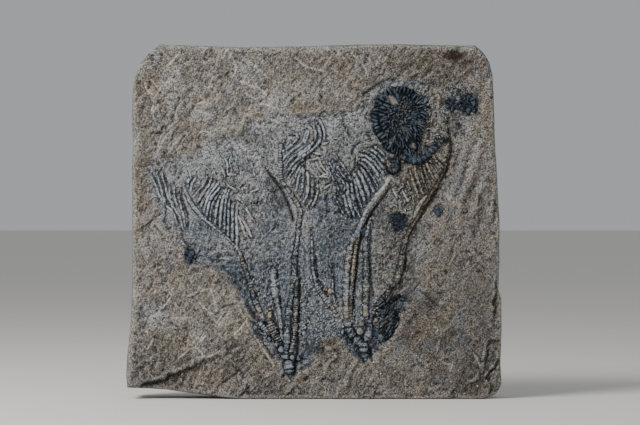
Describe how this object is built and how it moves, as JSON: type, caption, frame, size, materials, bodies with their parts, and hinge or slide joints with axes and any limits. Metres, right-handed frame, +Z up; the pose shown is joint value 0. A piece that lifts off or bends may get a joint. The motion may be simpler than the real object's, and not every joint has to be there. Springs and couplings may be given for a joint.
{
  "type": "fossil sea lily slab",
  "caption": "Upright slab of pale stone with fossil sea lilies, a round sea urchin disc and small fossils lying in a shallow blue-grey bed on its face.",
  "frame": {"origin": "centre of the bounding box at the level of the flat base", "axes": "+Z up along the slab's height, -Y out of the fossil face, +X to the right across the face"},
  "size_m": [0.2, 0.028, 0.1888],
  "materials": {
    "limestone": "rough broken stone, matte",
    "blue_grey_fossil": "fine-grained mineral, matte",
    "dark_fossil": "dense dark mineral with a slight sheen",
    "pale_fossil": "worn pale mineral, matte"
  },
  "bodies": {
    "root": {"slab": "limestone", "left_cup": "dark_fossil", "left_long_arm": "blue_grey_fossil", "left_middle_arm": "blue_grey_fossil", "left_tall_arm": "blue_grey_fossil", "left_far_arm": "pale_fossil", "right_cup": "dark_fossil", "right_thin_arm": "pale_fossil", "right_inner_arm": "blue_grey_fossil", "right_middle_arm": "blue_grey_fossil", "right_outer_arm": "pale_fossil", "sea_urchin": "dark_fossil", "curled_arm": "dark_fossil", "knob": "blue_grey_fossil", "lobed_plates": "dark_fossil", "bead": "dark_fossil", "left_fragment": "dark_fossil", "loose_plate": "pale_fossil"}
  },
  "joints": []
}
